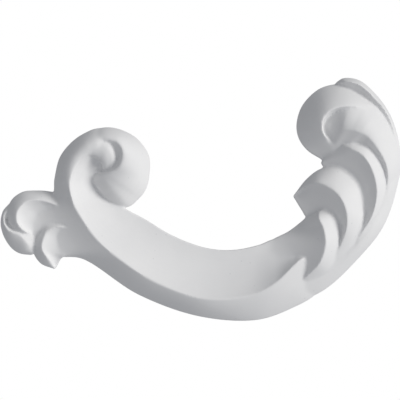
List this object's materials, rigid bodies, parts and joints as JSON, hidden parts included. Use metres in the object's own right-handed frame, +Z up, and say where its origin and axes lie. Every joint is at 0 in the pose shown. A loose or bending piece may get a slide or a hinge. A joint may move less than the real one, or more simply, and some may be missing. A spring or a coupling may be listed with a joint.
{
  "type": "swag onlay",
  "caption": "Cast C-shaped swag onlay with ball volutes, overlapping acanthus fingers and a small curled leaf, flat at the back for fixing to a wall, door or mantel.",
  "frame": {"origin": "on the flat back, behind the thick lower part of the sweep", "axes": "+Y out of the back and into the wall, +X along the length to the right as seen from the front, +Z up"},
  "size_m": [0.3203, 0.0285, 0.194],
  "materials": {
    "white_primer": "factory-primed matte white casting"
  },
  "bodies": {
    "root": {"swag_onlay": "white_primer"}
  },
  "joints": []
}
